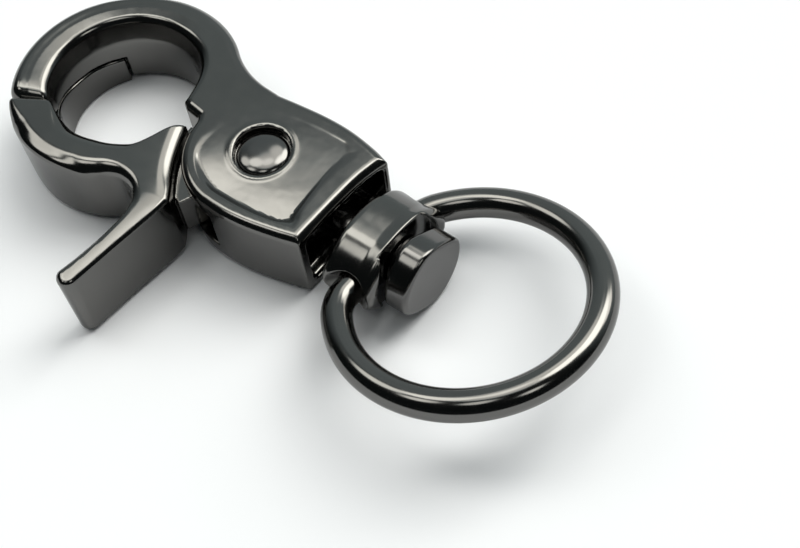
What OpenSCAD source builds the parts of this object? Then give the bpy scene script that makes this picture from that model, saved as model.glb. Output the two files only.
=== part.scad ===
// Swivel trigger snap: a cast hook body with a thumb lever, and a split ring on a turning collar.
// It lies flat. Z = 0 is half its thickness, X runs along the swivel axis from the hook to the ring,
// and Y points at the side of the hook's spine. The origin is the middle of the hook's round opening.

/* [Hook and lever arms] */
// Radius of the round opening inside the closed hook
opening_r = 7.1; // [5:0.1:12]
// Width of the hook's arm and the lever's arm, from the opening outwards
arm_width = 4.3; // [3:0.1:7]
// Thickness of the hook, the body and the lever
thickness = 8.4; // [6:0.1:14]
// Direction of the joint between hook tip and lever, seen from the rivet, in degrees
butt_angle = 197; // [190:1:204]
// Where the lever's tongue ends inside the hook, in degrees about the opening
tongue_end_angle = 139; // [125:1:165]
// Width of the lever's tongue
tongue_width = 1.3; // [0.8:0.1:1.8]

/* [Body] */
// Distance of the rivet from the middle of the opening, along the swivel axis
rivet_x = 17.25; // [15:0.05:24]
// Offset of the rivet from the swivel axis, towards the spine
rivet_y = 0.55; // [-1:0.05:2]
// Radius of the rounded cheek about the rivet
cheek_r = 7.6; // [6.5:0.1:10]
// Where the body ends on the swivel axis
body_end_x = 26.7; // [25:0.1:40]
// Distance of the body's end corner from the axis on the spine's side
end_spine_y = 6.6; // [5.6:0.1:9]
// Distance of the body's end corner from the axis on the lever's side
end_lever_y = 5.8; // [5.2:0.1:9]
// Radius of the rounded edges of the body
edge_r = 1.1; // [0.4:0.1:1.4]
// Height of the ledge where the hook's root meets the cheek
ledge_y = 0.9; // [0.2:0.1:1.6]
// Depth of the sunk panel in each face of the body
panel_depth = 0.45; // [0.2:0.05:0.7]
// Height of the slot between the cheeks
slot_height = 4.5; // [3.5:0.1:5]

/* [Rivet and spring] */
// Radius of the rivet's shank
rivet_r = 1.6; // [1:0.05:2]
// Radius of the rivet's domed heads
rivet_head_r = 2.15; // [1.9:0.05:2.6]
// Radius of the sunk seat around each rivet head
seat_r = 2.9; // [2.7:0.1:3.4]
// Radius of the lever's hub about the rivet
hub_r = 4.6; // [4:0.1:5]
// Thickness of the torsion spring's wire
spring_wire = 0.6; // [0.4:0.05:0.8]

/* [Lever] */
// Distance of the lever's web from the rounded cheek
web_gap = 0.75; // [0.3:0.05:1.2]
// How far the lever opens, in degrees
lever_open = 20; // [10:1:24]
// Distance of the thumb tang's tip from the swivel axis
tang_reach = 20.4; // [16:0.1:30]
// Width of the thumb tang at its tip
tang_width = 2.2; // [1.6:0.1:4]
// Radius of the finger notch between arm and tang
finger_r = 2.95; // [2:0.05:4]

/* [Swivel] */
// Offset of the swivel axis from the middle of the opening, towards the spine
axis_y = 0.1; // [-1:0.05:2]
// Start of the collar on the swivel axis
collar_x = 28.5; // [27.5:0.1:44]
// Length of the collar along the swivel axis
collar_length = 5.5; // [4.5:0.1:8]
// Width of the collar along the ring's pivot
collar_width = 11.9; // [10:0.1:16]
// Height of the collar across the ring's pivot
collar_height = 7.8; // [6:0.1:12]
// Turn of the collar about the swivel axis as it lies, in degrees
swivel_turn = -5; // [-15:1:15]
// Radius of the stud's shaft
stud_r = 1.7; // [1.2:0.05:2.2]
// Long width of the stud's head
head_long = 8.4; // [6:0.1:9]
// Short width of the stud's head
head_short = 7.2; // [5:0.1:9]
// Length of the stud's head
head_length = 2.5; // [1.5:0.1:4]
// Turn of the stud's head about the swivel axis, in degrees
head_turn = -34; // [-90:1:90]

/* [Ring] */
// Radius of the ring at the middle of its wire
ring_r = 11.4; // [9:0.1:20]
// Thickness of the ring's wire
ring_wire = 2.8; // [2:0.1:4]
// Where the ring lies in its play along its own pivot, towards the spine
ring_shift = -0.95; // [-1:0.05:1]
// Lift of the ring's far end as it lies, in degrees
ring_lift = 10; // [0:1:30]

/* [Fits] */
// Running clearance of a shaft in its bore
run_fit = 0.05; // [0.02:0.01:0.1]
// Clearance between two faces that slide past each other
face_fit = 0.15; // [0.05:0.05:0.3]

/* [Hidden] */
$fn = 64;
eps = 0.01;
half_t = thickness / 2;
arm_out_r = opening_r + arm_width;
arm_mid_r = opening_r + arm_width / 2;
// the arms' faces are crowned by a circle a little wider than the arm
crown_r = arm_width * 0.52;
// how far a straight edge's rounding runs past its ends
round_over = 0.3;
hub_t = slot_height - 2 * face_fit;
slot_r = hub_r + face_fit;
// the lever's neck swings up to the end of the wall that closes the slot beside it
neck_side_angle = 265 - lever_open;
wall_start_x = rivet_x - hub_r * sin(5) + face_fit;
// the spine's line and the concave neck that joins it to the hook
spine_y = 6.75;
neck_x = rivet_x - 3.95;
neck_r = (neck_x * neck_x + spine_y * spine_y - arm_out_r * arm_out_r) / (2 * (arm_out_r - spine_y));
neck_y = spine_y + neck_r;
neck_tx = neck_x * arm_out_r / (arm_out_r + neck_r);
neck_ty = neck_y * arm_out_r / (arm_out_r + neck_r);
neck_angle = atan2(neck_y, neck_x);
spine_mid = [body_end_x - 6.2, spine_y + 0.5];
lever_side_mid = [body_end_x - 6.2, rivet_y - cheek_r - 0.05];
// the tongue's top and the floor of its pocket in the hook
tongue_top = -0.6;
tongue_out_r = opening_r + tongue_width;
pocket_r = tongue_out_r + face_fit;
// the pocket also clears the tongue's swing about the rivet
pocket_swing_r = rivet_x + tongue_out_r + 0.25;
web_r = cheek_r + web_gap;
finger_x = 7.9;
finger_y = -arm_out_r;
tang_tip_x = rivet_x - 5.65;
tang_root_x = rivet_x - 4.9;
// the stud's seat is a wall at the bottom of the end cavity
wall_x = rivet_x + slot_r + 0.05;
wall_t = 1.5;
cavity_x = wall_x + wall_t;
cavity_z = 3.2;
cavity_wall = 1.1;
collar_end = collar_x + collar_length;
pivot_x = collar_x + collar_length * 0.533;
collar_face = collar_end - 0.9;
collar_edge_r = 1.2;
collar_corner_r = collar_height * 0.42;
ear_bore_r = head_long / 2 + 0.3;
shoulder_r = 2.4;
head_x = collar_face + 1.1;
// the ring bends into its two pins just outside the collar's sides
ring_entry = collar_width / 2 + 0.08;
ring_gap_angle = asin(ring_entry / ring_r);
ring_centre = ring_r * cos(ring_gap_angle);
pin_r = ring_wire / 2 - 0.02;
pin_in = stud_r + 1.15;
hole_r = pin_r + run_fit;
// the holes' mouths leave room for the ring's bend on the side it has shifted to
mouth_length = 1.4;
mouth_r = hole_r + 1.05;

// ---- shapes shared by the pieces ----

// section of an arm: straight walls and a crowned top and bottom
module arm_section() {
  intersection() {
    translate([opening_r, -half_t]) square([arm_width, thickness]);
    union() {
      for (s = [-1, 1]) translate([arm_mid_r, s * (half_t - crown_r)]) circle(r = crown_r);
      translate([opening_r, crown_r - half_t]) square([arm_width, thickness - 2 * crown_r]);
    }
  }
}

// an arm around the opening, from one direction to another
module arm(from_a, to_a) {
  rotate([0, 0, from_a]) rotate_extrude(angle = to_a - from_a) arm_section();
}

// everything on the lever's side of the hook's joint, with the joint's gap
module below_butt(gap) {
  translate([rivet_x, rivet_y, 0]) rotate([0, 0, butt_angle]) translate([0, gap, -half_t - 1])
    cube([60, 60, thickness + 2]);
}

// cutter that rounds the top and bottom edges of an outward-curved wall
module round_arc(r, er) {
  for (s = [0, 1]) mirror([0, 0, s]) rotate_extrude()
    translate([r - er, half_t - er]) difference() {
      square([er + 1, er + 1]);
      circle(r = er + eps);
    }
}

// cutter that rounds the top and bottom edges of a wall around a hole
module round_hole(r, er) {
  for (s = [0, 1]) mirror([0, 0, s]) rotate_extrude()
    difference() {
      translate([r - 0.5, half_t - er]) square([er + 0.5, er + 1]);
      translate([r + er, half_t - er]) circle(r = er + eps);
    }
}

// cutter that rounds the top and bottom edges of a straight wall; the piece lies left of p to q
module round_line(p, q, er) {
  run = norm(q - p);
  translate([p[0], p[1], 0]) rotate([0, 0, atan2(q[1] - p[1], q[0] - p[0])])
    for (s = [0, 1]) mirror([0, 0, s]) translate([-round_over, 0, 0]) rotate([90, 0, 90])
      linear_extrude(height = run + 2 * round_over) translate([er, half_t - er]) difference() {
        translate([-er - 1, 0]) square([er + 1, er + 1]);
        circle(r = er + eps);
      }
}

// ---- body ----

// outline of the body behind the hook
module body_outline() {
  difference() {
    union() {
      intersection() {
        translate([rivet_x, rivet_y]) circle(r = cheek_r);
        translate([rivet_x - 10, rivet_y - 10]) square([10, 11]);
      }
      polygon([
        [rivet_x, rivet_y - cheek_r], lever_side_mid, [body_end_x, -end_lever_y],
        [body_end_x, end_spine_y], spine_mid, [neck_x, spine_y], [neck_x, rivet_y]]);
      polygon([
        [neck_tx, neck_ty], [neck_x, spine_y], [rivet_x, spine_y], [rivet_x, ledge_y],
        [opening_r - 1, ledge_y], [opening_r * cos(neck_angle) - 1, opening_r * sin(neck_angle)]]);
    }
    translate([neck_x, neck_y]) circle(r = neck_r);
    circle(r = opening_r - eps);
  }
}

// outline of the sunk panel
module panel_outline() {
  translate([rivet_x, rivet_y]) circle(r = cheek_r - 2);
  polygon([
    [rivet_x - 6, rivet_y + 1.5], [rivet_x - 6, spine_y - 2.1], [rivet_x - 5.2, spine_y - 1.6],
    [body_end_x - 1.9, end_spine_y - 1.1], [body_end_x - 2, -end_lever_y + 1.6],
    [rivet_x, rivet_y - cheek_r + 2]]);
}

// pocket in the hook's lower half, in which the tongue lies and swings
module tongue_pocket() {
  swing_a = tongue_end_angle - 1.5;
  translate([0, 0, -half_t - 1]) linear_extrude(height = half_t + 1 + tongue_top + face_fit) {
    intersection() {
      circle(r = pocket_r);
      polygon([[0, 0], 20 * [cos(swing_a), sin(swing_a)], [-20, 20], [-20, -20], [0, -20]]);
    }
    intersection() {
      translate([rivet_x, rivet_y]) circle(r = pocket_swing_r);
      polygon([[0, rivet_y], [-30, rivet_y], [-30, -20], [0, -20]]);
    }
  }
}

module body() {
  color("dimgray") difference() {
    union() {
      difference() {
        arm(neck_angle - 1, 232);
        below_butt(0);
      }
      linear_extrude(height = thickness, center = true) body_outline();
    }
    // slot for the lever's hub, open to the hook's side and to the lever's side
    linear_extrude(height = slot_height, center = true) {
      translate([rivet_x, rivet_y]) circle(r = slot_r);
      polygon([
        [0, ledge_y], [rivet_x, ledge_y], [wall_start_x, rivet_y], [wall_start_x, -20], [0, -20]]);
    }
    tongue_pocket();
    // rounded edges
    translate([rivet_x, rivet_y, 0]) intersection() {
      round_arc(cheek_r, edge_r);
      translate([-20, -20, -half_t - 1]) cube([20, 20 + ledge_y - rivet_y, thickness + 2]);
    }
    intersection() {
      translate([neck_x, neck_y, 0]) round_hole(neck_r, edge_r);
      translate([neck_tx, 0, -half_t - 1])
        cube([neck_x - neck_tx - round_over + 0.05, 20, thickness + 2]);
    }
    intersection() {
      round_hole(opening_r, edge_r * 0.7);
      translate([0, ledge_y, -half_t - 1]) cube([20, opening_r, thickness + 2]);
    }
    round_line([body_end_x, end_spine_y], spine_mid, edge_r);
    round_line(spine_mid, [neck_x, spine_y], edge_r);
    round_line([rivet_x, rivet_y - cheek_r], lever_side_mid, edge_r);
    round_line(lever_side_mid, [body_end_x, -end_lever_y], edge_r);
    round_line([body_end_x, -end_lever_y], [body_end_x, end_spine_y], edge_r * 0.9);
    // sunk panels and the seats of the rivet's heads
    for (s = [0, 1]) mirror([0, 0, s]) {
      translate([0, 0, half_t - panel_depth]) linear_extrude(height = 2) panel_outline();
      translate([rivet_x, rivet_y, half_t - panel_depth - 0.6]) cylinder(r = seat_r, h = 2);
    }
    // bore for the rivet
    translate([rivet_x, rivet_y, -half_t]) cylinder(r = rivet_r, h = thickness);
    // cavity at the swivel end, and the bore that holds the stud
    translate([cavity_x, -end_lever_y + cavity_wall, -cavity_z])
      cube([20, end_lever_y + end_spine_y - 2 * cavity_wall, 2 * cavity_z]);
    translate([wall_x - 2, axis_y, 0]) rotate([0, 90, 0]) cylinder(r = stud_r + eps, h = wall_t + 4);
  }
}

// ---- lever ----

// outline of the lever's web and thumb tang
module web_outline() {
  difference() {
    union() {
      intersection() {
        circle(r = arm_out_r);
        polygon([[0, 0], [20, 0.2], [20, -20], 20 * [cos(-62), sin(-62)]]);
      }
      polygon([
        [3, -arm_out_r + 0.6], [5, -5], [9, -2], [rivet_x - 3.4, rivet_y - web_r + 0.4],
        [tang_root_x + 1.3, -arm_out_r + 1.2], [tang_root_x - 1.2, -arm_out_r]]);
      polygon([
        [tang_root_x - 1.5, -9.5], [tang_tip_x - tang_width / 2, -tang_reach + tang_width / 2],
        [tang_tip_x + tang_width / 2, -tang_reach + tang_width / 2], [tang_root_x + 1.3, -9]]);
      translate([tang_tip_x, -tang_reach + tang_width / 2]) circle(r = tang_width / 2);
    }
    circle(r = opening_r);
    // the web runs out to a point beside the ledge
    polygon([[0, 0], [opening_r - 0.45, -2.4], [rivet_x - web_r - 0.2, rivet_y - 1], [opening_r + 4, 5], [0, 5]]);
    translate([rivet_x, rivet_y]) circle(r = web_r);
    translate([finger_x, finger_y]) circle(r = finger_r);
  }
}

module lever() {
  color("slategray") difference() {
    union() {
      intersection() {
        arm(200, 296);
        below_butt(face_fit);
      }
      // tongue in the hook's lower half
      intersection() {
        arm(tongue_end_angle, 240);
        translate([0, 0, -half_t - 1]) cylinder(r = tongue_out_r, h = half_t + 1 + tongue_top);
      }
      linear_extrude(height = thickness, center = true) web_outline();
      // neck and hub between the cheeks
      linear_extrude(height = hub_t, center = true) {
        translate([rivet_x, rivet_y]) circle(r = hub_r);
        intersection() {
          translate([rivet_x, rivet_y]) circle(r = web_r + 0.5);
          polygon([
            [rivet_x, rivet_y], [rivet_x - 9, rivet_y - 0.6], [rivet_x - 9, rivet_y - 9],
            [rivet_x + 10 * cos(neck_side_angle), rivet_y + 10 * sin(neck_side_angle)]]);
        }
      }
    }
    // finger notch between arm and tang
    translate([finger_x, finger_y, -half_t - 1]) cylinder(r = finger_r, h = thickness + 2);
    // bore for the rivet, and the pocket of the spring
    translate([rivet_x, rivet_y, -half_t]) cylinder(r = rivet_r + run_fit, h = thickness);
    translate([rivet_x, rivet_y, hub_t / 2 - 3 * spring_wire - 0.1]) cylinder(r = rivet_r + 2.2, h = 4);
  }
}

// ---- rivet and spring ----

module lever_rivet() {
  seat_z = half_t - panel_depth - 0.6;
  color("gray") translate([rivet_x, rivet_y, 0]) {
    cylinder(r = rivet_r, h = 2 * seat_z + eps, center = true);
    for (s = [0, 1]) mirror([0, 0, s]) translate([0, 0, seat_z]) intersection() {
      cylinder(r = rivet_head_r, h = 2);
      translate([0, 0, -2.05]) sphere(r = 3);
    }
  }
}

module torsion_spring() {
  coil_r = rivet_r + 1.2;
  top_z = hub_t / 2 - 0.05;
  color("silver") translate([rivet_x, rivet_y, 0]) {
    for (k = [0:2]) translate([0, 0, top_z - spring_wire * (k + 0.5)])
      rotate_extrude() translate([coil_r, 0]) circle(d = spring_wire + eps);
    translate([-coil_r, 0, top_z - spring_wire * 2.5]) rotate([90, 0, 90 + 45])
      cylinder(d = spring_wire, h = 1);
  }
}

// ---- swivel ----

module swivel_stud() {
  color("gray") translate([0, axis_y, 0]) {
    translate([wall_x, 0, 0]) rotate([0, 90, 0]) cylinder(r = stud_r, h = head_x - wall_x + 0.5);
    translate([cavity_x, 0, 0]) rotate([0, 90, 0])
      cylinder(r = shoulder_r, h = collar_x - face_fit - cavity_x);
    translate([collar_face + face_fit, 0, 0]) rotate([0, 90, 0])
      cylinder(r = shoulder_r, h = head_x - collar_face);
    // head: a disc with its long sides cut flat and its rims rounded
    intersection() {
      translate([head_x, 0, 0]) rotate([0, 90, 0]) rotate_extrude() {
        square([head_long / 2 - 0.7, head_length]);
        translate([0, 0.7]) square([head_long / 2, head_length - 1.1]);
        translate([head_long / 2 - 0.7, 0.7]) circle(r = 0.7);
        translate([0, 0.4]) square([head_long / 2 - 0.4, head_length - 0.4]);
        translate([head_long / 2 - 0.4, head_length - 0.4]) circle(r = 0.4);
      }
      rotate([head_turn, 0, 0]) translate([head_x - 1, -10, -head_short / 2])
        cube([head_length + 2, 20, head_short]);
    }
  }
}

// rounded block section for the collar, lying in its own plane
module soft_rect(w, h, r) {
  square([w - 2 * r, h], center = true);
  square([w, h - 2 * r], center = true);
  for (a = [-1, 1]) for (b = [-1, 1]) translate([a * (w / 2 - r), b * (h / 2 - r)]) circle(r = r);
}

module collar() {
  mid_x = collar_x + collar_length / 2;
  color("dimgray") translate([0, axis_y, 0]) rotate([swivel_turn, 0, 0]) difference() {
    intersection() {
      translate([collar_x, 0, 0]) rotate([90, 0, 90])
        linear_extrude(height = collar_length) soft_rect(collar_width, collar_height, collar_corner_r);
      translate([mid_x, 10, 0]) rotate([90, 0, 0])
        linear_extrude(height = 20) soft_rect(collar_length, collar_height, collar_edge_r);
      translate([mid_x, 0, -10])
        linear_extrude(height = 20) soft_rect(collar_length, collar_width, collar_edge_r);
    }
    // bore on the stud, and the room between the ears for its head
    translate([collar_x - 1, 0, 0]) rotate([0, 90, 0]) cylinder(r = stud_r + run_fit, h = collar_length + 2);
    translate([collar_face, 0, 0]) rotate([0, 90, 0]) cylinder(r = ear_bore_r, h = 3);
    // holes for the ring's ends, wider at the mouth
    for (s = [0, 1]) mirror([0, s, 0]) translate([pivot_x, 0, 0]) rotate([-90, 0, 0]) {
      translate([0, 0, stud_r]) cylinder(r = hole_r, h = 10);
      translate([0, 0, collar_width / 2 - mouth_length])
        cylinder(r1 = hole_r, r2 = mouth_r, h = mouth_length + eps);
    }
  }
}

module ring() {
  color("gray") translate([0, axis_y, 0]) rotate([swivel_turn, 0, 0])
  translate([pivot_x, ring_shift, 0]) rotate([0, -ring_lift, 0]) {
    translate([ring_centre, 0, 0]) rotate([0, 0, -180 + ring_gap_angle])
      rotate_extrude(angle = 360 - 2 * ring_gap_angle) translate([ring_r, 0]) circle(d = ring_wire);
    for (s = [0, 1]) mirror([0, s, 0]) translate([0, ring_entry, 0]) {
      sphere(r = pin_r - eps);
      rotate([90, 0, 0]) cylinder(r = pin_r, h = ring_entry - pin_in);
    }
  }
}

body();
lever();
lever_rivet();
torsion_spring();
swivel_stud();
collar();
ring();
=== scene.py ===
import math

import bmesh
import bpy
import numpy as np
from mathutils import Matrix, Vector


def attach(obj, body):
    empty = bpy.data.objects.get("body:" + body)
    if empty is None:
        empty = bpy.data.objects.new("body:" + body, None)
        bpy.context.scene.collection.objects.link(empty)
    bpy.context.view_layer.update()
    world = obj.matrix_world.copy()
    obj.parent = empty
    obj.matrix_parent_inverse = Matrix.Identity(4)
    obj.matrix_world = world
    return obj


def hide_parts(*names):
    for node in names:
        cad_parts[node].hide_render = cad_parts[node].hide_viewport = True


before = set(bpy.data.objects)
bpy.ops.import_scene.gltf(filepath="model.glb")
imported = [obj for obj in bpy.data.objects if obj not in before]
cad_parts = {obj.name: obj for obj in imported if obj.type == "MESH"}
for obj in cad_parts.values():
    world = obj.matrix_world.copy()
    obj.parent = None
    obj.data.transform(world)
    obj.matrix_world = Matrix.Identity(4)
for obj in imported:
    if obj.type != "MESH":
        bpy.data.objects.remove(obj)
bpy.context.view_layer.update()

# Swivel lobster clasp. Sizes are in millimetres in the part's frame: the origin is the centre of the
# hook's round opening at half its thickness, X runs along the swivel axis to the ring, Y to the
# spine and Z up. Azimuths are in degrees about the origin, from +X towards +Y.

# ---------------------------------------------------------------- sizes

MM = 0.001
R_OPEN = 7.1            # the round opening of the hook
ARM_OUT = 11.4          # outside of the hook and of the lever's arm
HALF_T = 4.2            # half the thickness of the casting
RIV = (17.25, 0.55)     # the rivet, on which the lever turns
FIT = 0.15              # clearance between lever and body
BUTT = math.radians(209)        # direction of the joint between hook tip and lever
BUTT_AT = (-5.0, -6.27)         # and a point on it
AXIS_Y = 0.1            # the swivel axis
COLLAR_TURN = math.radians(-5)  # turns about that axis at rest
STUD_TURN = math.radians(-34)

# body
SPINE_Y = 6.75          # the spine at its lowest
NECK_X = 13.3           # centre of the hollow between spine and hook, with its radius below
NECK_R = (NECK_X ** 2 + SPINE_Y ** 2 - ARM_OUT ** 2) / (2 * (ARM_OUT - SPINE_Y))
NECK_Y = SPINE_Y + NECK_R
NECK_A = math.degrees(math.atan2(NECK_Y, NECK_X))
CHEEK_R = 7.6           # round end of the cheeks, about the rivet
LEDGE_Y = 0.55          # ledge between the opening and the cheek
WALL_X = 17.0           # where the wall beside the slot begins
BODY_EDGE, HOOK_EDGE, BORE_EDGE = 0.9, 1.6, 0.5     # roundings of the edges
FLARE, FLARE_Z = 0.26, 1.3      # the bore opens by this slope above this height
CROWN_OUT = 10.25       # radius inside which the hook's top slopes down to the bore
CROWN_SLOPE, CROWN_TIP_SLOPE = 0.13, 0.20       # by this much, at its root and at its tip
TIP_LONG, TIP_SLOPE = 1.9, 0.19     # length and slope of the fall at the hook's very tip
TIP_GAP = 0.12          # from the hook's tip to the joint with the lever
PANEL_RIM = 1.25        # width of the rim between cheek and panel
PANEL_STEP, PANEL_BOW = 0.01, 0.0054    # depth of the panel at the spine, and its growth away from it
CAVITY_X, CAVITY_Y = 23.7, 0.4          # bottom and middle of the cavity at the swivel end
CAVITY_HALF_Y, CAVITY_HALF_Z = 5.1, 2.75
CAVITY_CORNER, CAVITY_MOUTH = 0.7, 0.45     # rounding of its corners, and its widening at the mouth

CUT_EDGE = 0.12         # rounding of the edges of seats, slot and pocket

# rivet, and its seats in the cheeks
RIVET_R = 1.6
HEAD_UNDER, HEAD_Z, HEAD_RISE = 3.15, 3.45, 0.66    # underside of a head, start and height of its dome
HEAD_R = 2.5
SEAT_R, SEAT_Z = HEAD_R + 0.2, 3.2                  # the sunk seat of a head
LIP_R, LIP_WIDTH, LIP_RISE = 3.05, 0.24, 0.07       # low lip about the seat

# lever
HUB_R, HUB_Z = 4.6, 2.1     # the hub between the cheeks, with half its thickness
LEVER_NECK_R = 8.85     # reach of the lever's neck, about the rivet
NECK_END_X, NECK_LOW_Y = 8.25, -8.45    # its far end and its lower side
TONGUE_R, TONGUE_HALF = 7.75, 0.65      # middle and half width of the tongue
TONGUE_END, TONGUE_ROOT = 142.5, 240    # azimuths between which it runs
POCKET_R = TONGUE_R + TONGUE_HALF + FIT
POCKET_SWING = 25.9     # the pocket also clears the tongue's swing about the rivet
POCKET_FIT = 0.25       # above the tongue
SPRING_ROOM = 3.8       # pocket of the spring in the hub, open above SPRING_Z
SPRING_Z = 0.2

# collar and stud, along the swivel axis
COLLAR_FROM, COLLAR_TO = 28.5, 34.0
COLLAR_HALF_V, COLLAR_HALF_W, COLLAR_CORNER = 5.95, 3.9, 3.3    # half its width and height, its corners
COLLAR_CROWN = 7.0      # radius of its crowned top and bottom
COLLAR_FLARE = 0.23     # its growth towards the stud's head
COLLAR_FACE = 33.1      # bottom of the recess for the stud's head
PIVOT_X = 31.4315       # axis of the ring's two ends
STUD_PIN_R, STUD_SHOULDER_R, STUD_HEAD_R = 1.7, 2.4, 4.2
STUD_FLAT = 3.6         # from the axis to the head's flats
STUD_HEAD, STUD_PIN = (34.2, 36.7), (22.1, 34.7)        # from, to
STUD_OUTER, STUD_INNER = (33.25, 34.35), (23.8, 24.8)   # its two shoulders

# ring
RING_R, WIRE = 11.4, 1.4        # radii of the ring's centre line and of its wire
RING_SHIFT, RING_LIFT = -0.95, math.radians(10)     # as it lies in the collar
ENTRY = 6.03            # half the gap of the ring's circle at the pivot
RING_C = math.sqrt(RING_R ** 2 - ENTRY ** 2)
PIN_FROM, PIN_TO = 2.85, 5.1    # the straight ends inside the collar


# ---------------------------------------------------------------- distance fields
# Each field takes x, y, z in millimetres and is negative inside.

def r_and(a, b, r):
    """Intersection with a rounded edge of radius r."""
    return np.minimum(-r, np.maximum(a, b)) + np.hypot(np.maximum(a + r, 0), np.maximum(b + r, 0))


def r_or(a, b, r):
    """Union with a fillet of radius r."""
    return np.maximum(r, np.minimum(a, b)) - np.hypot(np.maximum(r - a, 0), np.maximum(r - b, 0))


def r_cut(a, b, r):
    """a without b, with a rounded edge."""
    return r_and(a, -b, r)


def ramp(v, a, b):
    """Smooth step from 0 at a to 1 at b."""
    t = np.clip((v - a) / (b - a), 0, 1)
    return t * t * (3 - 2 * t)


def above(v, knee):
    """v where it is positive and 0 elsewhere, with a soft knee between."""
    return (v + np.sqrt(v * v + knee)) / 2


def azimuth(x, y):
    """Direction from the origin, from 0 to 360 degrees."""
    return np.degrees(np.arctan2(y, x)) % 360


def from_rivet(x, y):
    """Distance from the rivet's axis."""
    return np.hypot(x - RIV[0], y - RIV[1])


def box2(u, v, hu, hv, r):
    """Rounded rectangle about the origin."""
    qu, qv = np.abs(u) - hu + r, np.abs(v) - hv + r
    return np.hypot(np.maximum(qu, 0), np.maximum(qv, 0)) + np.minimum(np.maximum(qu, qv), 0) - r


def butt_side(x, y):
    """Negative on the lever's side of the joint between hook tip and lever."""
    nx, ny = -math.sin(BUTT), math.cos(BUTT)
    return -((x - BUTT_AT[0]) * nx + (y - BUTT_AT[1]) * ny)


# ---------------------------------------------------------------- outlines

def arc(cx, cy, r, a0, a1, n=24):
    """Points along an arc, with its angles in degrees."""
    angles = [math.radians(a0 + (a1 - a0) * i / n) for i in range(n + 1)]
    return [(cx + r * math.cos(a), cy + r * math.sin(a)) for a in angles]


def sweep(radius, azimuths):
    """Points about the origin, at a radius that depends on the azimuth."""
    return [(radius(a) * math.cos(math.radians(a)), radius(a) * math.sin(math.radians(a))) for a in azimuths]


def curve(pts, n=6):
    """Smooth curve through a few points."""
    knots = [np.array(p, float) for p in pts]
    knots = [2 * knots[0] - knots[1]] + knots + [2 * knots[-1] - knots[-2]]
    out = []
    for a, b, c, d in zip(knots, knots[1:], knots[2:], knots[3:]):
        bend, twist = 2 * a - 5 * b + 4 * c - d, 3 * b - a - 3 * c + d
        for t in np.arange(n) / n:
            q = 0.5 * (2 * b + (c - a) * t + bend * t ** 2 + twist * t ** 3)
            out.append((float(q[0]), float(q[1])))
    return out + [tuple(pts[-1])]


def poly(x, y, pts, closed=True):
    """Signed distance to a closed outline, or plain distance to an open line."""
    best = np.full(np.broadcast(x, y).shape, 1e9)
    inside = np.zeros(best.shape, bool)
    for i in range(len(pts) - (not closed)):
        (ax, ay), (bx, by) = pts[i], pts[(i + 1) % len(pts)]
        ex, ey = bx - ax, by - ay
        wx, wy = x - ax, y - ay
        t = np.clip((wx * ex + wy * ey) / (ex * ex + ey * ey), 0, 1)
        best = np.minimum(best, (wx - ex * t) ** 2 + (wy - ey * t) ** 2)
        if ay != by:
            crosses = (ay > y) != (by > y)
            inside ^= crosses & (x < ax + (y - ay) * ex / ey)
    return np.sqrt(best) * (np.where(inside, -1, 1) if closed else 1)


def spline_weights(t):
    """Cubic B-spline weights of four neighbours, at t between the middle two."""
    return ((1 - t) ** 3 / 6, (3 * t ** 3 - 6 * t ** 2 + 4) / 6,
            (-3 * t ** 3 + 3 * t ** 2 + 3 * t + 1) / 6, t ** 3 / 6)


def plan(pts, step=0.1, closed=True, margin=2.5):
    """Distance to an outline as a smooth function, from a fine grid of exact distances."""
    lo = np.min(pts, axis=0) - margin
    n = np.ceil((np.max(pts, axis=0) + margin - lo) / step).astype(int) + 1
    grid_x, grid_y = (lo[k] + step * np.arange(n[k]) for k in (0, 1))
    grid = poly(grid_x[:, None], grid_y[None, :], pts, closed)

    def near(v, k):
        u = np.clip((v - lo[k]) / step, 1, n[k] - 2.001)
        i = u.astype(int)
        return i, spline_weights(u - i)

    def distance(x, y):
        (i, wx), (j, wy) = near(x, 0), near(y, 1)
        total = 0
        for a in range(4):
            for b in range(4):
                row = np.clip(i + a - 1, 0, n[0] - 1)
                column = np.clip(j + b - 1, 0, n[1] - 1)
                total = total + wx[a] * wy[b] * grid[row, column]
        return total
    return distance


# ---------------------------------------------------------------- meshes

def along(axis, part):
    """Index of a grid that takes a part of one axis and all of the others."""
    index = [slice(None)] * 3
    index[axis] = part
    return tuple(index)


def cell_points(value, inside):
    """For each cell of the grid, the mean of the points where its edges cross the surface."""
    n = np.array(value.shape) - 1
    total = np.zeros(tuple(n) + (3,), np.float32)
    count = np.zeros(tuple(n), np.uint8)
    for a in range(3):
        b, c = (k for k in range(3) if k != a)
        first, last = along(a, slice(0, -1)), along(a, slice(1, None))
        hit = inside[first] != inside[last]
        t = np.where(hit, value[first] / np.where(hit, value[first] - value[last], 1), 0).astype(np.float32)
        for i in (0, 1):
            for j in (0, 1):
                part = [None] * 3
                part[a] = slice(None)
                part[b] = slice(i, i + n[b])
                part[c] = slice(j, j + n[c])
                edge_hit = hit[tuple(part)]
                count += edge_hit
                total[..., a] += t[tuple(part)]
                total[..., b] += edge_hit * np.float32(i)
                total[..., c] += edge_hit * np.float32(j)
    return total, count


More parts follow.
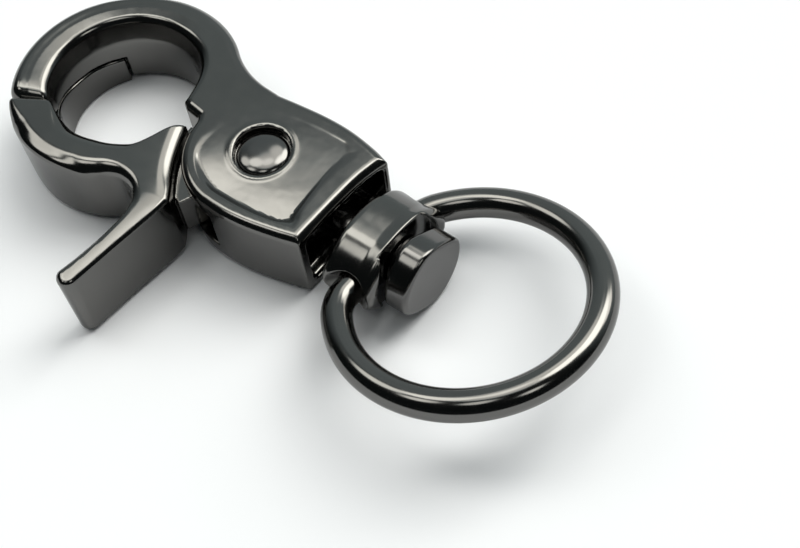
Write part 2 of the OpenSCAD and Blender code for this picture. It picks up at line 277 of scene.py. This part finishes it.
def cell_quads(inside, number):
    """A quad across each edge of the grid that crosses the surface, from the four cells around it."""
    quads = []
    for a in range(3):
        b, c = (a + 1) % 3, (a + 2) % 3
        first, last = [slice(1, -1)] * 3, [slice(1, -1)] * 3
        first[a], last[a] = slice(0, -1), slice(1, None)
        below, beyond = inside[tuple(first)], inside[tuple(last)]
        for leaving in (True, False):
            edges = np.argwhere((below != beyond) & (below == leaving))
            edges[:, b] += 1
            edges[:, c] += 1
            corners = []
            for back_b, back_c in ((1, 1), (0, 1), (0, 0), (1, 0)):
                cell = edges.copy()
                cell[:, b] -= back_b
                cell[:, c] -= back_c
                corners.append(number[cell[:, 0], cell[:, 1], cell[:, 2]])
            quad = np.stack(corners, 1)
            quads.append(quad if leaving else quad[:, ::-1])
    quads = np.concatenate(quads)
    return quads[(quads >= 0).all(1)]


def gradient(field, points, reach):
    """Gradient of a field at some points, from its values a short reach to each side."""
    out = np.empty_like(points)
    for k in range(3):
        offset = np.zeros(3)
        offset[k] = reach
        ahead, behind = (points + offset).T, (points - offset).T
        out[:, k] = (field(*ahead) - field(*behind)) / (2 * reach)
    return out


def mesh_field(field, lo, hi, h):
    """Vertices, quads and normals of a field's surface, from a grid of cells of size h."""
    x, y, z = (np.arange(lo[i], hi[i] + h, h) for i in range(3))
    value = field(x[:, None, None], y[None, :, None], z[None, None, :])
    value = np.broadcast_to(value, (len(x), len(y), len(z))).astype(np.float32)
    inside = value < 0
    total, count = cell_points(value, inside)
    used = count > 0
    number = np.full(count.shape, -1, np.int64)
    number[used] = np.arange(used.sum())
    points = np.array(lo) + h * (np.argwhere(used) + total[used] / count[used][:, None])
    for _ in range(3):      # move each vertex onto the surface, by less than a cell at a time
        slope = gradient(field, points, 0.012)
        off = field(*points.T) / np.maximum((slope * slope).sum(1), 0.2)
        step = off[:, None] * slope
        length = np.linalg.norm(step, axis=1)[:, None]
        points = points - step * np.minimum(1, 0.6 * h / np.maximum(length, 1e-9))
    normals = gradient(field, points, 0.03)
    normals /= np.maximum(np.linalg.norm(normals, axis=1), 1e-9)[:, None]
    return points, cell_quads(inside, number), normals


def add_object(name, mesh):
    ob = bpy.data.objects.new(name, mesh)
    bpy.context.scene.collection.objects.link(ob)
    return ob


def build(name, field, lo, hi, h):
    """The piece that a field describes, smooth-shaded with the field's own normals."""
    points, quads, normals = mesh_field(field, lo, hi, h)
    me = bpy.data.meshes.new(name)
    me.vertices.add(len(points))
    me.vertices.foreach_set("co", (points * MM).astype(np.float32).ravel())
    me.loops.add(quads.size)
    me.loops.foreach_set("vertex_index", quads.ravel().astype(np.int32))
    me.polygons.add(len(quads))
    me.polygons.foreach_set("loop_start", np.arange(0, quads.size, 4, dtype=np.int32))
    me.update(calc_edges=True)
    me.validate()
    me.polygons.foreach_set("use_smooth", np.ones(len(me.polygons), bool))
    me.normals_split_custom_set_from_vertices(normals.tolist())
    return add_object(name, me)


# ---------------------------------------------------------------- body

def hook_outside(a):
    """Outer radius of the hook: a little flatter at its upper left."""
    return ARM_OUT - 0.25 * math.exp(-((a - 125) / 24) ** 2)


# the whole casting: opening, ledge, cheek, its lower side, swivel end, spine, the hook's root and outside
BODY = (
    arc(0, 0, R_OPEN, 246, 8, 110)
    + [(7.25, LEDGE_Y + 0.35), (7.7, LEDGE_Y), (9.4, LEDGE_Y - 0.25)]
    + arc(*RIV, CHEEK_R, 186, 262, 40)
    + curve([(17.6, -7.08), (19.2, -7.08), (21.5, -6.8), (24.3, -6.2), (26.5, -5.6)])
    + curve([(26.55, -5.5), (26.62, -2.5), (26.7, 0), (26.85, 2.6), (27.2, 4.6), (27.55, 5.9)])
    + curve([(27.5, 6.0), (25.6, 6.55), (22.6, 7.05), (19.6, 7.12), (16.6, 6.9), (14.3, 6.66)])
    + arc(NECK_X, NECK_Y, NECK_R, 266, 180 + NECK_A)
    + sweep(hook_outside, np.arange(math.ceil(NECK_A), 238, 2.0))
)
# the sunk panel around the rivet: along the cheek, its lower side, the swivel end and the spine
PANEL = (
    arc(*RIV, CHEEK_R - PANEL_RIM, 200, 262)
    + curve([(17.2, -5.75), (19.2, -5.7), (21.3, -5.5), (23.4, -5.12), (25.3, -4.7)])
    + curve([(25.25, -3.7), (24.8, -2.6), (24.6, -0.8), (24.6, 1.2), (24.85, 3.2), (25.2, 4.6)])
    + curve([(24.9, 5.3), (23.2, 5.58), (20, 5.55), (16.6, 5.2), (13.5, 5.1), (12.0, 4.9), (11.3, 4.2),
             (11.05, 2.9)])
)
body_plan, panel_plan = plan(BODY), plan(PANEL)


def on_hook(az, start, full):
    """1 along the hook, from its root to its tip, and 0 on the rest of the body."""
    return ramp(az, start, full) * (az < 270)


def panel_depth(x, y):
    """Crisp beside the spine, hollowed at the swivel end and fading out towards the hook."""
    border = 0.4 + 0.9 * ramp(x, 23.0, 24.6) + 0.5 * ramp(-y, 2, 5) + 2.2 * ramp(15.0 - x + 0.6 * y, 0, 6)
    away = np.maximum(0, 0.27 * (x - 11) - 0.96 * (y - 4.7))    # from a line along the spine
    fade = 0.15 + 0.85 * ramp(x - 0.5 * y, 10.5, 20)
    return ramp(-panel_plan(x, y), 0, border) * (PANEL_STEP + PANEL_BOW * away * away) * fade


def body_top(x, y, az, rho):
    """Height of the top: panel, crown of the hook, slope of its tip and the lip of the rivet's seat."""
    slope = CROWN_SLOPE + (CROWN_TIP_SLOPE - CROWN_SLOPE) * ramp(az, 125, 175)
    crown = slope * on_hook(az, 38, 92) * above(CROWN_OUT - rho, 0.4)
    tip = TIP_SLOPE * above(TIP_LONG - butt_side(x, y), 0.3) * ramp(-x, -1, 1) * ramp(-y, 1, 3)
    lip = LIP_RISE * np.exp(-((from_rivet(x, y) - LIP_R) / LIP_WIDTH) ** 2)
    return HALF_T - panel_depth(x, y) - crown - tip + lip


def tongue_top(x, y):
    """Height of the tongue's top, falling towards its end inside the hook."""
    az = azimuth(x, y)
    return -1.0 + 0.35 * ramp(az, 142, 180) + 1.5 * ramp(az, 175, 235)


def tongue_pocket(x, y, z, az, rho):
    """Room for the tongue where it lies and where it swings; a degree is about 0.12 mm here."""
    turned = np.maximum(rho - POCKET_R, (TONGUE_END - 2 - az) * 0.12)
    swung = np.maximum(from_rivet(x, y) - POCKET_SWING, np.maximum(y - RIV[1], x))
    pocket = np.maximum(np.minimum(turned, swung), z - tongue_top(x, y) - POCKET_FIT)
    return np.where(x < 3, pocket, 9.0)


def hub_slot(x, y, z):
    """Room for the lever's hub and neck, open towards the lever."""
    neck_room = poly(x, y, [(0, LEDGE_Y - 1), (NECK_END_X, LEDGE_Y - 0.42), (RIV[0], LEDGE_Y + 0.25),
                            (WALL_X, RIV[1]), (WALL_X, -20), (0, -20)])
    return np.maximum(np.minimum(from_rivet(x, y) - HUB_R - FIT, neck_room), np.abs(z) - HUB_Z - FIT)


def body_field(x, y, z):
    az, rho = azimuth(x, y), np.hypot(x, y)
    flare = FLARE * above(z - FLARE_Z, 0.12) * on_hook(az, 12, 60) * ramp(10.4 - rho, 0, 1.2)
    hook_edge = BORE_EDGE + (HOOK_EDGE - BORE_EDGE) * ramp(rho, 8.4, 9.5)
    edge = BODY_EDGE + on_hook(az, 38, 92) * (hook_edge - BODY_EDGE)
    d = r_and(body_plan(x, y) + flare, np.abs(z) - body_top(x, y, az, rho), edge)
    d = r_cut(d, np.maximum(from_rivet(x, y) - SEAT_R, SEAT_Z - np.abs(z)), CUT_EDGE)
    beyond_tip = TIP_GAP - butt_side(x, y) - 30.0 * (x > 3)     # the joint ends the hook, not the cheek
    d = r_and(d, beyond_tip, 1.2)
    d = r_cut(d, hub_slot(x, y, z), CUT_EDGE)
    d = r_cut(d, tongue_pocket(x, y, z, az, rho), CUT_EDGE)
    half_z = CAVITY_HALF_Z + CAVITY_MOUTH * ramp(x, 25.2, 26.2)
    cavity = box2(y - CAVITY_Y, z, CAVITY_HALF_Y, half_z, CAVITY_CORNER)
    return r_cut(d, np.maximum(cavity, CAVITY_X - x), 0.22)


# ---------------------------------------------------------------- lever

def arm_outside(a):
    """Outer radius of the lever's arm: a little less at its tip."""
    return ARM_OUT - 0.5 + 0.5 * (a - 218) / 24


# right side of the web, beside the cheek, and of the thumb tang
RIGHT_EDGE = (
    curve([(9.05, -0.95), (9.4, -1.6), (9.75, -2.4), (10.3, -3.55), (11.05, -4.9), (11.9, -6.1),
           (12.75, -7.15), (13.35, -8.0)])
    + curve([(13.6, -8.4), (13.6, -10), (13.4, -12), (13.1, -15), (12.9, -17.5)])
)
# outside of the arm, finger notch and left side of the tang, its end, right side, top of the web, opening
LEVER = (
    sweep(arm_outside, np.arange(218, 242, 2.0))
    + arc(0, 0, ARM_OUT, 242, 284, 30)
    + curve([(3.1, -10.98), (4.4, -10.6), (5.6, -9.9), (6.5, -9.25), (7.5, -8.88), (8.6, -8.9), (9.6, -9.3),
             (10.35, -9.95), (10.9, -10.9), (11.2, -12.2), (11.2, -14.7), (10.95, -17.6)])
    + arc(11.68, -19.35, 1.05, 190, 350, 14)
    + RIGHT_EDGE[::-1]
    + curve([(8.95, -0.85), (8.35, -1.5), (7.65, -2.5), (7.1, -3.6), (6.25, -4.8), (5.15, -5.65),
             (3.7, -6.37), (1.85, -6.92)])
    + arc(0, 0, R_OPEN + 0.05, 284, 218, 50)
)
lever_plan = plan(LEVER)
right_plan = plan(RIGHT_EDGE + [(12.8, -19.0), (12.7, -21.5)], closed=False)


def lever_edge(x, y, az, rho, right):
    """Rounding of the lever's edges: sharp at the tip and the right side, full along the arm."""
    inner = 0.35 + 1.4 * ramp(az, 243, 272) - 1.35 * ramp(x, 6.0, 8.6)
    outer = 0.5 + 1.1 * ramp(az, 226, 248) - 0.5 * ramp(x, 3, 8)
    edge = inner + (outer - inner) * ramp(rho, 8.9, 9.6)
    edge = edge + (0.8 - edge) * ramp(-y, 10, 11.5)
    return edge + (0.4 - edge) * ramp(1.5 - right, 0, 0.9)


def lever_fall(y, right):
    """How far the top of web and tang falls towards their right side."""
    web = 0.25 * np.maximum(0, 1.35 - right) ** 2 + 0.012 * np.maximum(0, 4 - right) ** 2
    tang = 0.078 * above(2.3 - right, 0.09) + 0.03 * np.maximum(0, 2.0 - right) ** 2
    on_tang = ramp(-y, 5.5, 9.5)
    return web * (1 - on_tang) + tang * on_tang


def tongue(x, y, z, az, rho):
    """The tongue inside the hook; a degree is about 0.135 mm here."""
    heights = np.maximum(z - tongue_top(x, y), -HALF_T - z)
    d = r_and(np.abs(rho - TONGUE_R) - TONGUE_HALF, heights, 0.25)
    d = r_and(d, np.maximum(TONGUE_END - az, az - TONGUE_ROOT) * 0.135, 0.2)
    return np.where(x < 5, d, 9.0)


def hub(x, y, z):
    """Hub and neck, between the cheeks."""
    side = poly(x, y, [RIV, (NECK_END_X, -0.05), (NECK_END_X, NECK_LOW_Y), (13.05, NECK_LOW_Y)])
    neck = np.maximum(from_rivet(x, y) - LEVER_NECK_R, side)
    return r_and(np.minimum(from_rivet(x, y) - HUB_R, neck), np.abs(z) - HUB_Z, 0.1)


def lever_field(x, y, z):
    az, rho, right = azimuth(x, y), np.hypot(x, y), right_plan(x, y)
    height = np.abs(z) - HALF_T + lever_fall(y, right)
    d = r_and(lever_plan(x, y), height, lever_edge(x, y, az, rho, right))
    d = r_and(d, butt_side(x, y) + FIT, 0.7)
    d = np.minimum(d, tongue(x, y, z, az, rho))
    d = r_or(d, hub(x, y, z), 0.15)
    d = r_cut(d, from_rivet(x, y) - RIVET_R - 0.05, 0.1)
    return r_cut(d, np.maximum(from_rivet(x, y) - SPRING_ROOM, SPRING_Z - z), 0.1)


# ---------------------------------------------------------------- collar and stud

def about_axis(y, z, turn):
    """Coordinates across the swivel axis, turned about it."""
    c, s = math.cos(turn), math.sin(turn)
    return c * (y - AXIS_Y) + s * z, -s * (y - AXIS_Y) + c * z


def between(x, start, end):
    """Negative between start and end."""
    return np.abs(x - (start + end) / 2) - (end - start) / 2


def collar_field(x, y, z):
    v, w = about_axis(y, z, COLLAR_TURN)
    rad = np.hypot(v, w)
    block = box2(v, w, COLLAR_HALF_V, COLLAR_HALF_W, COLLAR_CORNER)
    crown = np.hypot(v, np.abs(w) + COLLAR_CROWN - COLLAR_HALF_W) - COLLAR_CROWN
    d = r_and(block, crown, 0.5) - COLLAR_FLARE * ramp(x, 31.8, 33.4)
    d = r_and(d, between(x, COLLAR_FROM, COLLAR_TO), 0.7 + 0.4 * ramp(x, 30, 33))
    d = r_cut(d, rad - STUD_PIN_R - 0.05, 0.15)
    d = r_cut(d, np.maximum(rad - STUD_HEAD_R - 0.25, COLLAR_FACE - x), 0.25)
    # holes for the ring's ends, countersunk
    out = np.abs(v)
    hole = np.hypot(x - PIVOT_X, w) - WIRE - 0.03 - 0.75 * np.maximum(0, out - 4.55)
    return r_cut(d, np.maximum(hole, 1.7 - out), 0.15)


def stud_field(x, y, z):
    v, w = about_axis(y, z, STUD_TURN)
    rad = np.hypot(v, w)
    head = r_and(r_and(rad - STUD_HEAD_R, np.abs(w) - STUD_FLAT, 0.8), between(x, *STUD_HEAD), 0.45)
    d = r_or(head, r_and(rad - STUD_SHOULDER_R, between(x, *STUD_OUTER), 0.1), 0.2)
    d = np.minimum(d, r_and(rad - STUD_PIN_R, between(x, *STUD_PIN), 0.15))
    return np.minimum(d, r_and(rad - STUD_SHOULDER_R, between(x, *STUD_INNER), 0.2))


# ---------------------------------------------------------------- ring

def ring_matrix():
    """Place of the ring's own plane: turned with the collar, moved aside and lifted."""
    return (Matrix.Translation((PIVOT_X, AXIS_Y, 0)) @ Matrix.Rotation(COLLAR_TURN, 4, "X")
            @ Matrix.Translation((0, RING_SHIFT, 0)) @ Matrix.Rotation(-RING_LIFT, 4, "Y"))


def on_ring(a):
    """Point on the ring's circle, from the side of the collar."""
    return Vector((RING_C - RING_R * math.cos(a), RING_R * math.sin(a)))


def ring_path(pin_steps=12, bend_steps=15, ring_steps=150):
    """Centre line of the wire: pin, bend, ring, bend, pin, in the ring's own plane."""
    start = math.asin(ENTRY / RING_R) + math.radians(7)
    pin = [Vector((0, PIN_FROM + (PIN_TO - PIN_FROM) * i / (pin_steps - 1))) for i in range(pin_steps)]
    corner = Vector((0, ENTRY - 0.1))
    bend = []
    for i in range(1, bend_steps + 1):
        t = i / bend_steps
        bend.append(pin[-1] * (1 - t) ** 2 + corner * 2 * t * (1 - t) + on_ring(start) * t * t)
    ring = [on_ring(start + (2 * math.pi - 2 * start) * i / ring_steps) for i in range(1, ring_steps)]
    return pin + bend + ring + [Vector((p.x, -p.y)) for p in reversed(pin + bend)]


def wire(name, path, radius, place, sides=56, cap=0.25):
    """A round wire along a flat path, with rounded ends."""
    flat = np.array([(p[0], p[1]) for p in path])
    run = np.concatenate([[0], np.cumsum(np.linalg.norm(np.diff(flat, axis=0), axis=1))])
    ends = np.array([0, 0.02, 0.07, 0.14, cap])
    at = np.concatenate([ends, run[(run > 0.3) & (run < run[-1] - 0.3)], run[-1] - ends[::-1]])
    centre = np.stack([np.interp(at, run, flat[:, k]) for k in (0, 1)], 1)
    ahead = np.gradient(centre, axis=0)
    ahead /= np.linalg.norm(ahead, axis=1)[:, None]
    left = np.minimum(np.minimum(at, run[-1] - at), cap)
    r = (radius - cap + np.sqrt(cap ** 2 - (cap - left) ** 2))[:, None]
    ang = np.arange(sides) * 2 * math.pi / sides
    verts = np.stack([centre[:, :1] - r * np.cos(ang) * ahead[:, 1:],
                      centre[:, 1:] + r * np.cos(ang) * ahead[:, :1], r * np.sin(ang)], -1).reshape(-1, 3)
    n = len(centre)
    faces = []
    for i in range(n - 1):
        for j in range(sides):
            k = (j + 1) % sides
            faces.append((i * sides + j, i * sides + k, (i + 1) * sides + k, (i + 1) * sides + j))
    faces += [tuple(range(sides))[::-1], tuple(range((n - 1) * sides, n * sides))]
    me = bpy.data.meshes.new(name)
    me.from_pydata([tuple(place @ Vector(v) * MM) for v in verts], [], faces)
    me.polygons.foreach_set("use_smooth", [len(f) == 4 for f in faces])
    me.update()
    return add_object(name, me)


# ---------------------------------------------------------------- rivet

def rivet_profile():
    """Outline of the rivet from (radius, height) pairs: shank between two domed heads."""
    dome = [(HEAD_R * math.cos(math.radians(t)), HEAD_Z + HEAD_RISE * math.sin(math.radians(t)))
            for t in range(5, 90, 5)]
    head = [(HEAD_R, HEAD_UNDER), (HEAD_R + 0.02, HEAD_Z - 0.05)] + dome + [(0, HEAD_Z + HEAD_RISE)]
    shank = [(RIVET_R, -HEAD_UNDER), (RIVET_R, HEAD_UNDER)]
    return [(r, -h) for r, h in reversed(head)] + shank + head


def lathe(name, profile, n=96):
    """Turned piece about +Z from (radius, height) pairs, both ends on the axis."""
    bm = bmesh.new()
    rings = []
    for r, h in profile:
        spokes = [2 * math.pi * i / n for i in range(n)] if r > 0 else [0]
        rings.append([bm.verts.new((r * MM * math.cos(a), r * MM * math.sin(a), h * MM)) for a in spokes])
    for a, b in zip(rings, rings[1:]):
        for i in range(n):
            j = (i + 1) % n
            if len(a) == 1:
                bm.faces.new((a[0], b[j], b[i]))
            elif len(b) == 1:
                bm.faces.new((a[i], a[j], b[0]))
            else:
                bm.faces.new((a[i], a[j], b[j], b[i]))
    bmesh.ops.recalc_face_normals(bm, faces=bm.faces)
    for f in bm.faces:
        f.smooth = True
    me = bpy.data.meshes.new(name)
    bm.to_mesh(me)
    bm.free()
    return add_object(name, me)


# ---------------------------------------------------------------- materials

def add(tree, kind, inputs=None, **settings):
    """A new node with its settings, each input set to a value or linked to another node's output."""
    new = tree.nodes.new(kind)
    for key, value in settings.items():
        setattr(new, key, value)
    for key, value in (inputs or {}).items():
        if isinstance(value, bpy.types.NodeSocket):
            tree.links.new(value, new.inputs[key])
        else:
            new.inputs[key].default_value = value
    return new


def metal(name, color, rough, ripple, ripple_scale=350.0):
    """Polished plating: slight tone drift, fine scuffs in the gloss and shallow casting ripple."""
    m = bpy.data.materials.new(name)
    m.use_nodes = True
    tree = m.node_tree
    place = add(tree, "ShaderNodeTexCoord").outputs["Object"]

    def noise(scale, detail):
        inputs = {"Vector": place, "Scale": scale, "Detail": detail}
        return add(tree, "ShaderNodeTexNoise", inputs).outputs["Fac"]

    tone = add(tree, "ShaderNodeValToRGB", {"Fac": noise(120.0, 3.0)})
    for stop, position, share in zip(tone.color_ramp.elements, (0.3, 0.7), (0.93, 1.05)):
        stop.position = position
        stop.color = tuple(c * share for c in color) + (1,)
    gloss = add(tree, "ShaderNodeMapRange", {"Value": noise(900.0, 6.0), "From Min": 0.35, "From Max": 0.75,
                                             "To Min": rough, "To Max": rough * 1.35})
    bump = add(tree, "ShaderNodeBump", {"Height": noise(ripple_scale, 2.0), "Distance": ripple * MM})
    bump.inputs["Strength"].default_value = 1.0
    shader = tree.nodes["Principled BSDF"]
    shader.inputs["Metallic"].default_value = 1.0
    tree.links.new(tone.outputs["Color"], shader.inputs["Base Color"])
    tree.links.new(gloss.outputs["Result"], shader.inputs["Roughness"])
    tree.links.new(bump.outputs["Normal"], shader.inputs["Normal"])
    return m


GUNMETAL = (0.165, 0.163, 0.157)
m_cast = metal("gunmetal_cast", GUNMETAL, 0.13, ripple=0.025)
m_lever = metal("gunmetal_lever", GUNMETAL, 0.12, ripple=0.008)
m_wire = metal("gunmetal_wire", (0.175, 0.172, 0.166), 0.12, ripple=0.01, ripple_scale=250)
m_turned = metal("gunmetal_turned", (0.150, 0.148, 0.145), 0.13, ripple=0.012)
m_spring = metal("spring_wire", (0.5, 0.5, 0.5), 0.3, ripple=0.01)


# ---------------------------------------------------------------- pieces

def finish_piece(ob, mat, body, slot, *nodes):
    """Give a piece its material and the body it rides, and hide the CAD nodes it replaces; slot is not used.
    """
    ob.data.materials.clear()
    ob.data.materials.append(mat)
    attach(ob, body)
    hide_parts(*nodes)


# each field is sampled on a grid between two corners, in coarse or fine cells
COARSE, FINE = 0.17, 0.11
body = build("hook_body", body_field, (-11.9, -7.8, -4.6), (28.0, 11.9, 4.6), COARSE)
finish_piece(body, m_cast, "hook", "gunmetal", "body")

lever = build("lever_arm", lever_field, (-11.9, -21.2, -4.6), (22.3, 6.4, 4.6), COARSE)
finish_piece(lever, m_lever, "lever", "gunmetal", "lever")

collar = build("swivel_collar", collar_field, (28.2, -6.5, -4.6), (34.4, 6.7, 4.6), FINE)
finish_piece(collar, m_cast, "collar", "gunmetal", "collar")

stud = build("stud_pin", stud_field, (21.8, -4.6, -4.7), (37.1, 4.8, 4.7), FINE)
finish_piece(stud, m_turned, "hook", "gunmetal_rivet", "swivel_stud")

ring = wire("ring_wire", ring_path(), WIRE, ring_matrix())
finish_piece(ring, m_wire, "ring", "gunmetal_wire", "ring")

rivet = lathe("rivet_pin", rivet_profile())
rivet.data.transform(Matrix.Translation((RIV[0] * MM, RIV[1] * MM, 0)))
finish_piece(rivet, m_turned, "hook", "gunmetal_rivet", "lever_rivet")

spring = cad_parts["torsion_spring"]
spring.data.materials.clear()
spring.data.materials.append(m_spring)

# ---------------------------------------------------------------- floor

# just below the casting and the lip of its lower rivet seat
FLOOR_Z = -(HALF_T + 0.05) * MM
bpy.ops.mesh.primitive_plane_add(size=3.0, location=(0.02, 0, FLOOR_Z))
floor = bpy.context.object
floor.name = "floor"
fm = bpy.data.materials.new("floor")
fm.use_nodes = True
tree = fm.node_tree
tree.nodes.clear()
# near white to the camera, and a little darker in reflections
seen = add(tree, "ShaderNodeLightPath").outputs["Is Camera Ray"]
pale = add(tree, "ShaderNodeMix", {"Factor": seen, "A": (0.71, 0.73, 0.77, 1), "B": (0.915, 0.94, 0.99, 1)},
           data_type="RGBA")
matt = add(tree, "ShaderNodeBsdfDiffuse", {"Color": pale.outputs["Result"]})
add(tree, "ShaderNodeOutputMaterial", {"Surface": matt.outputs[0]})
floor.data.materials.append(fm)

# ---------------------------------------------------------------- light

# world: white to the camera, and a studio of soft lights for everything else
world = bpy.data.worlds.new("studio")
bpy.context.scene.world = world
world.use_nodes = True
sky = world.node_tree
sky.nodes.clear()
way = add(sky, "ShaderNodeTexCoord").outputs["Generated"]


def lobe(azim, elev, full, none, radiance):
    """A soft patch of light: its direction, how wide it is full and where it ends, in degrees."""
    a, e = math.radians(azim), math.radians(elev)
    towards = (math.cos(a) * math.cos(e), math.sin(a) * math.cos(e), math.sin(e))
    dot = add(sky, "ShaderNodeVectorMath", {0: way, 1: towards}, operation="DOT_PRODUCT")
    return add(sky, "ShaderNodeMapRange",
               {"Value": dot.outputs["Value"], "From Min": math.cos(math.radians(none)),
                "From Max": math.cos(math.radians(full)), "To Max": radiance},
               interpolation_type="SMOOTHSTEP").outputs[0]


LIGHTS = (
    (75, 45, 12, 19, 6.4),      # window behind the hook's spine
    (75, 62, 9, 15, 6.0),
    (72, 30, 8, 14, 4.0),
    (125, 74, 12, 24, 2.0),     # lamps overhead
    (130, 73, 6, 11, 3.8),
    (172, 66, 8, 12, 4.0),
    (188, 49, 8, 13, 3.0),
    (112, 54, 7, 14, 2.5),
    (226, 60, 6, 10, 2.8),
    (350, 51, 5, 9, 2.4),
    (290, 70, 5, 10, 2.2),
    (141, 44, 8, 22, 0.42),     # wall and shelf seen in the flat faces
    (110, 8, 20, 85, 0.44),     # walls behind the spine
)
level = 0.02            # the dark room between them
for spec in LIGHTS:
    level = add(sky, "ShaderNodeMath", {0: level, 1: lobe(*spec)}, operation="MAXIMUM").outputs[0]
# dim light is a little blue-green and bright light a little warm
warmth = add(sky, "ShaderNodeMath", {0: level, 1: 0.5}, operation="MULTIPLY").outputs[0]
tint = add(sky, "ShaderNodeMix", {"Factor": warmth, "A": (0.84, 1.0, 1.03, 1), "B": (1.0, 0.985, 0.92, 1)},
           data_type="RGBA")
studio = add(sky, "ShaderNodeBackground", {"Color": tint.outputs["Result"], "Strength": level})
white = add(sky, "ShaderNodeBackground", {"Color": (1, 1, 1, 1)})
seen = add(sky, "ShaderNodeLightPath").outputs["Is Camera Ray"]
mix = add(sky, "ShaderNodeMixShader", {"Fac": seen, 1: studio.outputs[0], 2: white.outputs[0]})
add(sky, "ShaderNodeOutputWorld", {"Surface": mix.outputs[0]})

# ---------------------------------------------------------------- camera

EYE = Vector((74.81, -44.30, 91.72))
AIM = Vector((33.972, -1.266, 0))
ROLL = math.radians(-8.041)
cam = bpy.data.cameras.new("camera")
cam.lens, cam.sensor_width = 55.67, 36.0
cam.clip_start = 0.005
cam_ob = bpy.data.objects.new("camera", cam)
look = (AIM - EYE).to_track_quat("-Z", "Y").to_matrix().to_4x4()
cam_ob.matrix_world = Matrix.Translation(EYE * MM) @ look @ Matrix.Rotation(ROLL, 4, "Z")
bpy.context.scene.collection.objects.link(cam_ob)
bpy.context.scene.camera = cam_ob

bpy.context.scene.view_settings.view_transform = "Standard"

bpy.context.view_layer.update()
